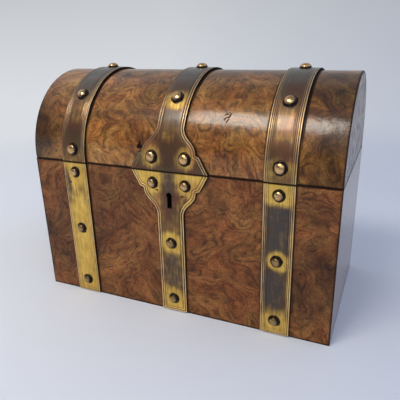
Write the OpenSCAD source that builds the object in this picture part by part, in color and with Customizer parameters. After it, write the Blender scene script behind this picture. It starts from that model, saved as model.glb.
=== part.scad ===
// Dome-topped wooden money box: burr walnut veneer on pine boards, bound with
// three moulded brass straps, with a link-plate lock and two butt hinges.
// Millimetres. +Z up, front towards -Y, origin on the table under the middle of the box.

/* [Box] */
// Width over the veneered ends
box_w = 230; // [210:1:300]
// Depth over the veneered front and back, which is also the diameter of the lid's barrel
box_d = 120; // [110:1:160]
// Height of the middle of the seam above the table
body_h = 110; // [104:1:160]
// Thickness of the pine boards and staves
board_t = 10; // [10:0.5:12]
// Thickness of the base board
base_t = 7; // [5:0.5:12]
// Thickness of the walnut veneer
veneer_t = 1; // [0.6:0.1:1.6]
// Gap between the body and the closed lid
seam_gap = 0.4; // [0.2:0.1:0.8]
// Thickness of the paper-covered card lining
lining_t = 0.8; // [0.5:0.1:1.5]
// How far the lining stops short of the seam
lining_drop = 1; // [0.5:0.1:2]

/* [Lid] */
// Height of the lid's straight rim, from the middle of the seam to the barrel's axis
rim_h = 2.3; // [2.2:0.1:6]
// Angle that each of the lid's front and back rails takes up
rail_angle = 20; // [18:1:24]

/* [Brass straps] */
// Width of a strap
strap_w = 20.5; // [19:0.5:24]
// Thickness of a strap
strap_t = 1.8; // [1.6:0.1:2.5]
// Distance of the middle of each side strap from the end of the box
strap_inset = 37.5; // [30:0.5:41]
// Place of the middle strap, a little right of the middle of the box
middle_strap_x = 1; // [-2:0.5:3]
// Height of a strap's foot above the table
strap_foot = 0.8; // [0.4:0.1:4]
// Width of the flat band along a strap's edge
band_w = 1.6; // [1.2:0.1:2]
// Width of the raised bead beside that band
bead_w = 1.4; // [1:0.1:1.8]
// Depth of the two grooves that set off the bead
groove_t = 0.4; // [0.2:0.1:0.6]
// Half the width of the lock's flared plate at the seam
flare_w = 29.3; // [28:0.1:32]
// Half the width of the flared plate at its notch
notch_w = 22.9; // [21:0.1:24]
// Depth of that notch
notch_t = 2.7; // [1.5:0.1:3]
// Length of the flare along the strap
flare_l = 30; // [28:0.5:36]

/* [Brass nails] */
// Diameter of a domed head on the body
body_nail_d = 7.4; // [6.5:0.1:8]
// Diameter of a domed head on the lid
lid_nail_d = 8.3; // [7:0.1:9]
// Height of a domed head
nail_rise = 3; // [2.5:0.1:3.2]
// Diameter of a nail's shank
nail_shank_d = 1.8; // [1.4:0.1:2]
// Depth of a nail in the wood
nail_grip = 3; // [2:0.1:3.2]
// Depth below the seam of the top nails of the side straps
top_nail_drop = 7.5; // [7:0.1:10]
// Depth below the seam of the pair of nails beside the keyhole
pair_nail_drop = 8.6; // [8:0.1:11]
// Half the distance between that pair of nails
pair_half = 12.4; // [12:0.1:13]
// Height of the middle nails above the table
mid_nail_z = 57; // [45:0.5:65]
// Height of the bottom nails above the table
low_nail_z = 11.6; // [8:0.1:16]
// Angle of the lid's lowest nails about the barrel's axis
low_nail_angle = 7; // [6:0.5:9]
// Angle of the lid's nails halfway up
high_nail_angle = 46.5; // [44:0.5:56]

/* [Lock] */
// Depth of the keyhole's round part below the seam
key_drop = 17; // [17:0.5:18]
// Diameter of the keyhole's round part
key_d = 4.7; // [4.2:0.1:5.4]
// Width of the keyhole's slot
key_slot_w = 3.5; // [3:0.1:4]
// Length of the keyhole's slot, from the middle of the round part
key_slot_l = 9.2; // [8.6:0.1:10]
// Width of the lock plate's margin, on each side of the case
plate_margin = 4.5; // [4:0.1:6]
// Height of the lock plate
lock_h = 30; // [30:0.5:36]
// Thickness of the lock plate and of the link plate
plate_t = 1.2; // [1:0.1:1.5]
// Thickness of the lock plate's turned-over top edge
selvedge_t = 1.5; // [1.2:0.1:1.8]
// Depth of the lock's mortise in the front board
mortise_t = 6.6; // [6.4:0.1:6.7]
// Wall of the lock's case
case_t = 0.8; // [0.6:0.1:1]
// Travel of the bolt
bolt_throw = 5; // [4.5:0.1:5]
// Clearance between the bolt's flat sides and the case
bolt_clear = 0.3; // [0.2:0.05:0.5]
// Distance of each staple from the middle of the lock
staple_x = 9; // [8.8:0.1:9.2]

/* [Hinges] */
// Distance of the middle of each hinge from the end of the box
hinge_inset = 70; // [66:0.5:76]
// Length of a hinge
hinge_l = 30; // [26:0.5:36]
// Thickness of a hinge leaf
leaf_t = 1.5; // [1.2:0.1:1.8]
// Width of a hinge leaf in the wood
leaf_w = 9.5; // [9:0.1:10]
// Diameter of the hinge's knuckles
knuckle_d = 5.5; // [5.2:0.1:6]
// Diameter of the hinge pin
pin_d = 2.5; // [2:0.1:2.8]
// Radial clearance of the pin in the lid's knuckles
pin_clear = 0.05; // [0.02:0.01:0.08]

/* [Hidden] */

$fn = 96;
spare = 1;                               // how far a cut runs past what it cuts

// The wooden box: outer faces, wood under the veneer, and the room inside
half_w = box_w / 2;
half_d = box_d / 2;
wood_x = half_w - veneer_t;
wood_y = half_d - veneer_t;
room_x = wood_x - board_t;
room_y = wood_y - board_t;
body_top = body_h - seam_gap / 2;
lid_bottom = body_h + seam_gap / 2;
floor_z = base_t + lining_t;
lining_x = room_x - lining_t;
lining_y = room_y - lining_t;

// The lid's barrel
barrel_z = body_h + rim_h;
barrel_r = half_d;
wood_r = barrel_r - veneer_t;
room_r = wood_r - board_t;
lining_r = room_r - lining_t;
rim_drop = barrel_z - lid_bottom;
stave_count = 7;
stave_angle = (180 - 2 * rail_angle) / stave_count;

// The straps
strap_y = half_d + strap_t;
strap_r = barrel_r + strap_t;
side_strap_x = half_w - strap_inset;
strap_xs = [-side_strap_x, middle_strap_x, side_strap_x];
band_t = strap_t - groove_t / 2;
groove_w = 0.6;                          // width of each groove
edge_round = 0.35;                       // corner taken off a strap's outer edge
flare_steps = 8;                         // straight pieces in each curve of the flare
flare_reach = 40;                        // angle of the barrel that the lid's flare stays in

// The nails
top_nail_z = body_h - top_nail_drop;
pair_nail_z = body_h - pair_nail_drop;
back_angles = [180 - high_nail_angle, 180 - low_nail_angle];
side_angles = concat([low_nail_angle, high_nail_angle, 90], back_angles);

// The lock, let into the front board from the inside
case_rise = 2;                           // from the plate's lower edge to the case
lock_x = middle_strap_x;
lock_back = -room_y;                     // inner face of the front board
lock_front = lock_back - mortise_t;      // floor of the mortise
plate_y = lock_back - plate_t;
case_y = lock_front + case_t;
lock_y = (plate_y + case_y) / 2;         // middle of the room in the case
case_top = body_top - selvedge_t;
lock_bottom = body_top - lock_h;
case_bottom = lock_bottom + case_rise;
key_z = body_h - key_drop;
drill_pin_d = 2.2;
drill_pin_l = 7.3;                       // how far the pin stands out of the plate

// The bolt: a bar that slides on two studs, with two fingers on posts
bit_r = key_slot_l - 0.9;                // reach of the key's bit
bar_rise = 5.25;                         // from the drill pin's axis to the bar's lower edge
bar_bottom = key_z + bar_rise;
bar_h = 4.4;
bar_top = bar_bottom + bar_h;
bolt_t = plate_y - case_y - 2 * bolt_clear;
eye_gap = 0.3;                           // play of a finger in its staple
eye_wall = 0.7;
finger_t = 1.2;
finger_h = 2.6;
finger_l = 5.5;
finger_tip = 0.8;                        // distance of a withdrawn finger from its staple
post_w = 2.5;
staple_t = 2;
bar_tail = 0.7;                          // of the bar, past the left post
bar_nose = 2.6;                          // of the bar, past the right stud's slot
bar_end_gap = 1.2;                       // between the bar's ends and the case
bar_left = staple_x + staple_t / 2 + finger_tip + finger_l + post_w + bar_tail;
case_in = bar_left + bar_end_gap;
case_half = case_in + case_t;
lock_w = 2 * (case_half + plate_margin);
staple_foot_h = 1;                       // metal of a staple below its eye
staple_bottom = bar_top + 0.8;
eye_bottom = staple_bottom + staple_foot_h;
eye_h = finger_h + 2 * eye_gap;
finger_bottom = eye_bottom + eye_gap;
stud_d = 1.8;
stud_z = bar_bottom + bar_h / 2;
stud_xs = [-11, 10];                     // the studs' places from the middle of the lock
stud_play = 0.1;
bar_right = stud_xs[1] + stud_d / 2 + stud_play + bar_nose;
talon_w = 4.5;                           // notch that the key's bit pushes on
spring_t = 0.4;
spring_w = 1.6;
spring_r = 11;
spring_gap = 0.1;                        // between the spring and the bolt's lower edge
spring_foot_w = 1.6;

// Screws: head diameter, shank diameter, length
lock_screw = [3.4, 1.8, 6];
hinge_screw = [4.2, 2.2, 9];
sink_h = 1;                              // height of a countersunk head
lock_screw_x = case_half + plate_margin / 2;
lock_screw_drops = [6, 25];              // depth of the lock's screws below the rim
link_margin = 0.5;                       // of the link plate, past the case on each side
link_half = case_half + link_margin;
link_screw_in = 4.5;                     // from the link plate's ends to its screws
link_screw_x = link_half - link_screw_in;

// The hinges
hinge_x = half_w - hinge_inset;
hinge_stand = 0.15;                      // between the knuckles and the box's back
hinge_y = half_d + knuckle_d / 2 + hinge_stand;
leaf_y = half_d - leaf_w;
knuckle_count = 5;
knuckle_pitch = hinge_l / knuckle_count;
knuckle_gap = 0.2;
sweep_clear = 0.3;                       // between a leaf and the other leaf's knuckles
body_knuckles = [0, 2, 4];
lid_knuckles = [1, 3];
hinge_screw_y = leaf_y + leaf_w / 2;
hinge_screw_xs = [-hinge_l / 3, 0, hinge_l / 3];

// ---- Shapes that repeat ----

// A block between two corners
module block(low, high) translate(low) cube(high - low);

// What is drawn round the Z axis comes to lie round the barrel's axis:
// angles run from the front over the top to the back, and Z becomes -X
module on_barrel() translate([0, 0, barrel_z]) rotate([90, 0, -90]) children();

// A part of the barrel's wall in section, between two radii and two angles
module wall_sector(r_in, r_out, from, to)
    intersection() {
        difference() {
            circle(r_out);
            circle(r_in);
        }
        polygon(concat([[0, 0]], [for (a = [from, (from + to) / 2, to]) 2 * r_out * [cos(a), sin(a)]]));
    }

// The straight rim below it, at the front (side = 1) or the back (side = -1)
module rim_sector(r_in, r_out, side, drop)
    translate([side > 0 ? r_in : -r_out, -drop]) square([r_out - r_in, drop]);

// What is drawn in section becomes a board along the barrel
module along_barrel(length) on_barrel() linear_extrude(length, center = true) children();

// The outline of the lid's end: a half circle over the straight rim
module lid_end_outline(r, drop) {
    intersection() {
        circle(r);
        translate([-r - spare, 0]) square([2 * (r + spare), r + spare]);
    }
    translate([-r, -drop]) square([2 * r, drop]);
}

// A board of that outline between two values of X
module lid_end(r, x_from, x_to, drop = rim_drop)
    on_barrel()
        translate([0, 0, -x_to])
            linear_extrude(x_to - x_from) lid_end_outline(r, drop);

// A countersunk screw, its slotted head flush with Z = 0 and its shank downwards
module screw(size) {
    difference() {
        union() {
            translate([0, 0, -sink_h]) cylinder(d1 = size[1], d2 = size[0], h = sink_h);
            translate([0, 0, -size[2]]) cylinder(d = size[1], h = size[2] - sink_h);
        }
        translate([-size[0] / 2, -0.3, -0.5]) cube([size[0], 0.6, 0.5 + spare]);
    }
}

// The hole that the screw fills
module screw_hole(size) {
    translate([0, 0, -sink_h]) cylinder(d1 = size[1], d2 = size[0], h = sink_h);
    translate([0, 0, -size[2]]) cylinder(d = size[1], h = size[2]);
}

// A domed nail, its head on Z = 0 and its shank downwards
module nail(head_d, shank_l) {
    dome_r = (pow(head_d / 2, 2) + pow(nail_rise, 2)) / (2 * nail_rise);
    intersection() {
        translate([0, 0, nail_rise - dome_r]) sphere(dome_r);
        cylinder(d = head_d, h = nail_rise + spare);
    }
    translate([0, 0, -shank_l]) cylinder(d = nail_shank_d, h = shank_l);
}

// ---- Places of the nails, the screws and the keyhole ----

function side_points(x) = [[x, top_nail_z], [x, mid_nail_z], [x, low_nail_z]];
middle_points = [
    [middle_strap_x - pair_half, pair_nail_z], [middle_strap_x + pair_half, pair_nail_z],
    [middle_strap_x, mid_nail_z], [middle_strap_x, low_nail_z]
];
all_body_points = concat(side_points(strap_xs[0]), middle_points, side_points(strap_xs[2]));

// The lid's nails as [X, angle]
function side_lid_points(x) = [for (a = side_angles) [x, a]];
middle_lid_points = concat(
    [[middle_strap_x - pair_half, low_nail_angle], [middle_strap_x + pair_half, low_nail_angle]],
    [for (a = [high_nail_angle, 90, back_angles[0], back_angles[1]]) [middle_strap_x, a]]
);
all_lid_points = concat(
    side_lid_points(strap_xs[0]), middle_lid_points, side_lid_points(strap_xs[2])
);

module at_body_nails(points)
    for (p = points) translate([p[0], -strap_y, p[1]]) rotate([90, 0, 0]) children();

module at_lid_nails(points)
    for (p = points)
        on_barrel()
            rotate([0, 0, p[1]]) translate([strap_r, 0, -p[0]]) rotate([0, 90, 0]) children();

nail_shank_l = strap_t + veneer_t + nail_grip;

module nail_hole() translate([0, 0, -nail_shank_l]) cylinder(d = nail_shank_d, h = nail_shank_l);

module body_nail_holes() at_body_nails(all_body_points) nail_hole();

module lid_nail_holes() at_lid_nails(all_lid_points) nail_hole();

module keyhole(y_from, y_to)
    translate([lock_x, y_to, key_z])
        rotate([90, 0, 0]) {
            cylinder(d = key_d, h = y_to - y_from);
            translate([-key_slot_w / 2, -key_slot_l, 0])
                cube([key_slot_w, key_slot_l, y_to - y_from]);
        }

module at_lock_screws()
    for (side = [-1, 1], drop = lock_screw_drops)
        translate([lock_x + side * lock_screw_x, lock_back, body_top - drop])
            rotate([-90, 0, 0]) children();

module at_link_screws()
    for (side = [-1, 1])
        translate([lock_x + side * link_screw_x, lock_y, lid_bottom])
            rotate([180, 0, 0]) children();

module at_hinges() for (side = [-1, 1]) translate([side * hinge_x, 0, 0]) children();

module at_hinge_screws(z, turn)
    for (x = hinge_screw_xs) translate([x, hinge_screw_y, z]) rotate([turn, 0, 0]) children();

// ---- Straps ----

// Half of a strap's section: [distance from the edge, height above the wood]
strap_edge = [
    [0, 0], [0, band_t - edge_round], [edge_round, band_t], [band_w, band_t],
    [band_w + groove_w / 2, band_t - groove_t], [band_w + groove_w, band_t],
    [band_w + groove_w + bead_w / 4, strap_t], [band_w + groove_w + bead_w * 3 / 4, strap_t],
    [band_w + groove_w + bead_w, band_t],
    [band_w + groove_w * 3 / 2 + bead_w, band_t - groove_t],
    [band_w + groove_w * 2 + bead_w, strap_t]
];

function strap_section(w) = concat(
    [for (p = strap_edge) [p[0] - w / 2, p[1]]],
    [for (i = [len(strap_edge) - 1:-1:0]) [w / 2 - strap_edge[i][0], strap_edge[i][1]]]
);

// A point on a curve with one control point
function bend(a, b, c, t) = (1 - t) * (1 - t) * a + 2 * t * (1 - t) * b + t * t * c;
function curve(a, b, c) = [for (i = [0:flare_steps]) bend(a, b, c, i / flare_steps)];

// One side of the flared plate: [half width, distance from the seam].
// It runs in from the point at the seam to a notch, swells, and sweeps into the strap.
notch_s = flare_l * 0.39;
swell_w = notch_w - notch_t;
function swell_to(share) = strap_w / 2 + share * (swell_w - strap_w / 2);
flare_side = concat(
    curve([flare_w, 0], [(flare_w + notch_w) / 2, notch_s / 2], [notch_w, notch_s]),
    curve([swell_w, flare_l * 0.42], [swell_w, flare_l * 0.58], [swell_to(0.54), flare_l * 0.72]),
    curve([swell_to(0.54), flare_l * 0.72], [swell_to(0.09), flare_l * 0.84], [strap_w / 2, flare_l])
);

// The height that a distance along the lid's strap reaches in front view
function lid_rise(s) = s < rim_drop ? s : rim_drop + strap_r * sin((s - rim_drop) / strap_r * 180 / PI);

function mirrored(side) = concat(
    side, [for (i = [len(side) - 1:-1:0]) [-side[i][0], side[i][1]]]
);

module body_strap(x) {
    translate([x, -half_d, strap_foot])
        linear_extrude(body_top - strap_foot) mirror([0, 1]) polygon(strap_section(strap_w));
}

module body_flare()
    translate([middle_strap_x, -half_d, body_top])
        rotate([90, 0, 0])
            linear_extrude(strap_t) polygon([for (p = mirrored(flare_side)) [p[0], -p[1]]]);

module lid_strap(x)
    translate([x, 0, 0]) {
        on_barrel()
            rotate_extrude(angle = 180)
                polygon([for (p = strap_section(strap_w)) [barrel_r + p[1], p[0]]]);
        for (side = [0, 180])
            rotate([0, 0, side])
                translate([0, -half_d, lid_bottom])
                    linear_extrude(rim_drop) mirror([0, 1]) polygon(strap_section(strap_w));
    }

module lid_flare()
    intersection() {
        along_barrel(box_w) {
            wall_sector(barrel_r, strap_r, 0, flare_reach);
            rim_sector(barrel_r, strap_r, 1, rim_drop);
        }
        translate([middle_strap_x, 0, lid_bottom])
            rotate([90, 0, 0])
                linear_extrude(strap_y + spare)
                    polygon([for (p = mirrored(flare_side)) [p[0], lid_rise(p[1])]]);
    }

// ---- Hinges ----

module on_hinge_axis(from, to)
    translate([from, hinge_y, body_h]) rotate([0, 90, 0]) linear_extrude(to - from) children();

module hinge_knuckles(which, d, extra)
    for (i = which)
        on_hinge_axis(-hinge_l / 2 + i * knuckle_pitch + knuckle_gap / 2 - extra,
                      -hinge_l / 2 + (i + 1) * knuckle_pitch - knuckle_gap / 2 + extra)
            circle(d = d);

module leaf(z_low, z_high, own, other, bore_d) {
    difference() {
        union() {
            block([-hinge_l / 2, leaf_y, z_low], [hinge_l / 2, hinge_y, z_high]);
            hinge_knuckles(own, knuckle_d, 0);
        }
        hinge_knuckles(other, knuckle_d + 2 * sweep_clear, knuckle_gap);
        on_hinge_axis(-hinge_l / 2 - spare, hinge_l / 2 + spare) circle(d = bore_d);
    }
}

module body_leaf(x)
    translate([x, 0, 0])
        difference() {
            leaf(body_top - leaf_t, body_top, body_knuckles, lid_knuckles, pin_d);
            at_hinge_screws(body_top, 0) screw_hole(hinge_screw);
        }

module lid_leaf(x)
    translate([x, 0, 0])
        difference() {
            leaf(lid_bottom, lid_bottom + leaf_t, lid_knuckles, body_knuckles,
                 pin_d + 2 * pin_clear);
            at_hinge_screws(lid_bottom, 180) screw_hole(hinge_screw);
        }

module leaf_recess(z_low, z_high)
    at_hinges() block([-hinge_l / 2, leaf_y, z_low], [hinge_l / 2, half_d + spare, z_high]);

// ---- Body: boards, veneer and lining ----

module base_board() color("burlywood") block([-room_x, -room_y, 0], [room_x, room_y, base_t]);

module front_board() color("burlywood")
    difference() {
        block([-wood_x, -wood_y, 0], [wood_x, -room_y, body_top]);
        lock_recess();
        keyhole(-wood_y - spare, lock_back);
        body_nail_holes();
        at_lock_screws() screw_hole(lock_screw);
    }

// Room for the lock's plate, its turned-over edge and its case
module lock_recess() {
    block([lock_x - lock_w / 2, plate_y, lock_bottom],
          [lock_x + lock_w / 2, lock_back + spare, body_top + spare]);
    block([lock_x - lock_w / 2, lock_front, case_top],
          [lock_x + lock_w / 2, lock_back + spare, body_top + spare]);
    block([lock_x - case_half, lock_front, case_bottom],
          [lock_x + case_half, lock_back + spare, body_top + spare]);
}

module back_board() color("burlywood")
    difference() {
        block([-wood_x, room_y, 0], [wood_x, wood_y, body_top]);
        leaf_recess(body_top - leaf_t, body_top + spare);
        at_hinges() at_hinge_screws(body_top, 0) screw_hole(hinge_screw);
    }

module left_board() color("burlywood") block([-wood_x, -room_y, 0], [-room_x, room_y, body_top]);

module right_board() color("burlywood") block([room_x, -room_y, 0], [wood_x, room_y, body_top]);

module front_veneer() color("sienna")
    difference() {
        block([-half_w, -half_d, 0], [half_w, -wood_y, body_top]);
        keyhole(-half_d - spare, -wood_y + spare);
        body_nail_holes();
    }

module back_veneer() color("sienna")
    difference() {
        block([-half_w, wood_y, 0], [half_w, half_d, body_top]);
        leaf_recess(body_top - leaf_t, body_top + spare);
    }

module left_veneer() color("sienna") block([-half_w, -wood_y, 0], [-wood_x, wood_y, body_top]);

module right_veneer() color("sienna") block([wood_x, -wood_y, 0], [half_w, wood_y, body_top]);

module floor_lining() color("steelblue") block([-room_x, -room_y, base_t], [room_x, room_y, floor_z]);

module front_lining() color("steelblue")
    difference() {
        block([-room_x, -room_y, floor_z], [room_x, -lining_y, body_top - lining_drop]);
        block([lock_x - lock_w / 2, -room_y - spare, lock_bottom],
              [lock_x + lock_w / 2, -lining_y + spare, body_top]);
    }

module back_lining() color("steelblue")
    block([-room_x, lining_y, floor_z], [room_x, room_y, body_top - lining_drop]);

module left_lining() color("steelblue")
    block([-room_x, -lining_y, floor_z], [-lining_x, lining_y, body_top - lining_drop]);

module right_lining() color("steelblue")
    block([lining_x, -lining_y, floor_z], [room_x, lining_y, body_top - lining_drop]);

// ---- Body: straps and nails ----

module left_body_strap() color("goldenrod")
    difference() {
        body_strap(strap_xs[0]);
        body_nail_holes();
    }

module middle_body_strap() color("goldenrod")
    difference() {
        union() {
            body_strap(middle_strap_x);
            body_flare();
        }
        body_nail_holes();
        keyhole(-strap_y - spare, -half_d + spare);
    }

module right_body_strap() color("goldenrod")
    difference() {
        body_strap(strap_xs[2]);
        body_nail_holes();
    }

module left_body_nails() color("darkgoldenrod")
    at_body_nails(side_points(strap_xs[0])) nail(body_nail_d, nail_shank_l);

module middle_body_nails() color("darkgoldenrod")
    at_body_nails(middle_points) nail(body_nail_d, nail_shank_l);

module right_body_nails() color("darkgoldenrod")
    at_body_nails(side_points(strap_xs[2])) nail(body_nail_d, nail_shank_l);

// ---- Lock ----

module lock_plate() color("gold")
    difference() {
        union() {
            block([lock_x - lock_w / 2, plate_y, lock_bottom],
                  [lock_x + lock_w / 2, lock_back, body_top]);
            block([lock_x - lock_w / 2, lock_front, case_top],
                  [lock_x + lock_w / 2, lock_back, body_top]);
        }
        for (side = [-1, 1])
            block([lock_x + side * staple_x - staple_t, case_y, case_top - spare],
                  [lock_x + side * staple_x + staple_t, plate_y, body_top + spare]);
        at_lock_screws() screw_hole(lock_screw);
        translate([lock_x, 0, key_z]) lock_rod(drill_pin_d, lock_back + spare, plate_y - spare);
        for (x = stud_xs)
            translate([lock_x + x, 0, stud_z]) lock_rod(stud_d, lock_back + spare, plate_y - spare);
    }

// A round rod along Y
module lock_rod(d, y_high, y_low)
    translate([0, y_high, 0]) rotate([90, 0, 0]) cylinder(d = d, h = y_high - y_low);

module lock_case() color("silver")
    difference() {
        block([lock_x - case_half, lock_front, case_bottom], [lock_x + case_half, plate_y, case_top]);
        block([lock_x - case_in, case_y, case_bottom + case_t],
              [lock_x + case_in, plate_y + spare, case_top + spare]);
        keyhole(lock_front - spare, case_y + spare);
    }

module drill_pin() color("dimgray")
    translate([lock_x, 0, key_z]) lock_rod(drill_pin_d, lock_back, plate_y - drill_pin_l);

module bolt_studs() color("dimgray")
    for (x = stud_xs)
        translate([lock_x + x, 0, stud_z]) lock_rod(stud_d, lock_back, case_y);

module bolt_spring() color("slategray") {
    foot_x = lock_x - case_in;
    spring_x = foot_x + (spring_foot_w - spring_t) / 2 + spring_r;
    spring_z = bar_bottom - spring_gap - spring_r;
    translate([spring_x, lock_y, spring_z])
        rotate([90, 0, 0])
            rotate([0, 0, 100])
                rotate_extrude(angle = 80)
                    translate([spring_r - spring_t, -spring_w / 2]) square([spring_t, spring_w]);
    block([foot_x, lock_y - spring_w / 2, case_bottom + case_t],
          [foot_x + spring_foot_w, lock_y + spring_w / 2, spring_z]);
}

module lock_screws() color("gold") at_lock_screws() screw(lock_screw);

module bolt() color("silver")
    difference() {
        union() {
            block([lock_x - bar_left, lock_y - bolt_t / 2, bar_bottom],
                  [lock_x + bar_right, lock_y + bolt_t / 2, bar_top]);
            for (side = [-1, 1]) bolt_finger(lock_x + side * staple_x - staple_t / 2 - finger_tip);
        }
        block([lock_x - bolt_throw / 2 - talon_w / 2, lock_y - bolt_t, bar_bottom - spare],
              [lock_x - bolt_throw / 2 + talon_w / 2, lock_y + bolt_t, key_z + bit_r]);
        for (x = stud_xs) stud_slot(lock_x + x);
    }

module bolt_finger(tip_x) {
    block([tip_x - finger_l, lock_y - finger_t / 2, finger_bottom],
          [tip_x, lock_y + finger_t / 2, finger_bottom + finger_h]);
    block([tip_x - finger_l - post_w, lock_y - bolt_t / 2, bar_top - spare],
          [tip_x - finger_l, lock_y + bolt_t / 2, finger_bottom + finger_h]);
}

// The slot that lets the bolt slide over a stud
module stud_slot(x) {
    d = stud_d + 2 * stud_play;
    for (end = [-bolt_throw, 0])
        translate([x + end, 0, stud_z]) lock_rod(d, lock_y + bolt_t, lock_y - bolt_t);
    block([x - bolt_throw, lock_y - bolt_t, stud_z - d / 2], [x, lock_y + bolt_t, stud_z + d / 2]);
}

// ---- Hinges: body side ----

module left_hinge_body_leaf() color("gold") body_leaf(-hinge_x);

module right_hinge_body_leaf() color("gold") body_leaf(hinge_x);

module hinge_pins() color("dimgray")
    at_hinges()
        on_hinge_axis(-hinge_l / 2 + knuckle_gap / 2, hinge_l / 2 - knuckle_gap / 2) circle(d = pin_d);

module hinge_body_screws() color("gold") at_hinges() at_hinge_screws(body_top, 0) screw(hinge_screw);

// ---- Lid: rails, staves, ends, veneer and lining ----

module lid_front_rail() color("burlywood")
    difference() {
        along_barrel(2 * wood_x) {
            wall_sector(room_r, wood_r, 0, rail_angle);
            rim_sector(room_r, wood_r, 1, rim_drop);
        }
        block([lock_x - link_half, lock_front, lid_bottom - spare],
              [lock_x + link_half, plate_y, lid_bottom + plate_t]);
        at_link_screws() screw_hole(lock_screw);
        lid_nail_holes();
    }

module lid_back_rail() color("burlywood")
    difference() {
        along_barrel(2 * wood_x) {
            wall_sector(room_r, wood_r, 180 - rail_angle, 180);
            rim_sector(room_r, wood_r, -1, rim_drop);
        }
        leaf_recess(lid_bottom - spare, lid_bottom + leaf_t);
        at_hinges() at_hinge_screws(lid_bottom, 180) screw_hole(hinge_screw);
        lid_nail_holes();
    }

// The staves are counted from the front
module stave(number) color("burlywood")
    difference() {
        along_barrel(2 * wood_x)
            wall_sector(room_r, wood_r, rail_angle + (number - 1) * stave_angle,
                        rail_angle + number * stave_angle);
        lid_nail_holes();
    }

module lid_left_end() color("burlywood") lid_end(room_r, -wood_x, -room_x);

module lid_right_end() color("burlywood") lid_end(room_r, room_x, wood_x);

module dome_veneer() color("sienna")
    difference() {
        along_barrel(box_w) {
            wall_sector(wood_r, barrel_r, 0, 180);
            for (side = [-1, 1]) rim_sector(wood_r, barrel_r, side, rim_drop);
        }
        leaf_recess(lid_bottom - spare, lid_bottom + leaf_t);
        lid_nail_holes();
    }

module lid_left_veneer() color("sienna") lid_end(wood_r, -half_w, -wood_x);

module lid_right_veneer() color("sienna") lid_end(wood_r, wood_x, half_w);

module dome_lining() color("steelblue")
    along_barrel(2 * room_x) {
        wall_sector(lining_r, room_r, 0, 180);
        for (side = [-1, 1]) rim_sector(lining_r, room_r, side, rim_drop - lining_drop);
    }

module lid_left_lining() color("steelblue")
    lid_end(lining_r, -room_x, -lining_x, rim_drop - lining_drop);

module lid_right_lining() color("steelblue")
    lid_end(lining_r, lining_x, room_x, rim_drop - lining_drop);

// ---- Lid: straps, nails, link plate and hinge leaves ----

module left_lid_strap() color("goldenrod")
    difference() {
        lid_strap(strap_xs[0]);
        lid_nail_holes();
    }

module middle_lid_strap() color("goldenrod")
    difference() {
        union() {
            lid_strap(middle_strap_x);
            lid_flare();
        }
        lid_nail_holes();
    }

module right_lid_strap() color("goldenrod")
    difference() {
        lid_strap(strap_xs[2]);
        lid_nail_holes();
    }

module left_lid_nails() color("darkgoldenrod")
    at_lid_nails(side_lid_points(strap_xs[0])) nail(lid_nail_d, nail_shank_l);

module middle_lid_nails() color("darkgoldenrod")
    at_lid_nails(middle_lid_points) nail(lid_nail_d, nail_shank_l);

module right_lid_nails() color("darkgoldenrod")
    at_lid_nails(side_lid_points(strap_xs[2])) nail(lid_nail_d, nail_shank_l);

module link_plate() color("gold")
    difference() {
        union() {
            block([lock_x - link_half, lock_front, lid_bottom],
                  [lock_x + link_half, plate_y, lid_bottom + plate_t]);
            for (side = [-1, 1]) staple(lock_x + side * staple_x);
        }
        at_link_screws() screw_hole(lock_screw);
    }

// A staple hangs from the link plate and has an eye for the bolt's finger
module staple(x) {
    eye_half = finger_t / 2 + eye_gap;
    difference() {
        block([x - staple_t / 2, lock_y - eye_half - eye_wall, staple_bottom],
              [x + staple_t / 2, lock_y + eye_half + eye_wall, lid_bottom + plate_t]);
        block([x - staple_t, lock_y - eye_half, eye_bottom],
              [x + staple_t, lock_y + eye_half, eye_bottom + eye_h]);
    }
}

module link_plate_screws() color("gold") at_link_screws() screw(lock_screw);

module left_hinge_lid_leaf() color("gold") lid_leaf(-hinge_x);

module right_hinge_lid_leaf() color("gold") lid_leaf(hinge_x);

module hinge_lid_screws() color("gold") at_hinges() at_hinge_screws(lid_bottom, 180) screw(hinge_screw);

base_board();
front_board();
back_board();
left_board();
right_board();
front_veneer();
back_veneer();
left_veneer();
right_veneer();
floor_lining();
front_lining();
back_lining();
left_lining();
right_lining();
left_body_strap();
middle_body_strap();
right_body_strap();
left_body_nails();
middle_body_nails();
right_body_nails();
lock_plate();
lock_case();
drill_pin();
bolt_studs();
bolt_spring();
lock_screws();
bolt();
left_hinge_body_leaf();
right_hinge_body_leaf();
hinge_pins();
hinge_body_screws();
lid_front_rail();
lid_back_rail();
stave(1);  // stave_1
stave(2);  // stave_2
stave(3);  // stave_3
stave(4);  // stave_4
stave(5);  // stave_5
stave(6);  // stave_6
stave(7);  // stave_7
lid_left_end();
lid_right_end();
dome_veneer();
lid_left_veneer();
lid_right_veneer();
dome_lining();
lid_left_lining();
lid_right_lining();
left_lid_strap();
middle_lid_strap();
right_lid_strap();
left_lid_nails();
middle_lid_nails();
right_lid_nails();
link_plate();
link_plate_screws();
left_hinge_lid_leaf();
right_hinge_lid_leaf();
hinge_lid_screws();
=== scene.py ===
import math

import bmesh
import bpy
import numpy as np
from mathutils import Matrix, Vector, noise


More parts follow.
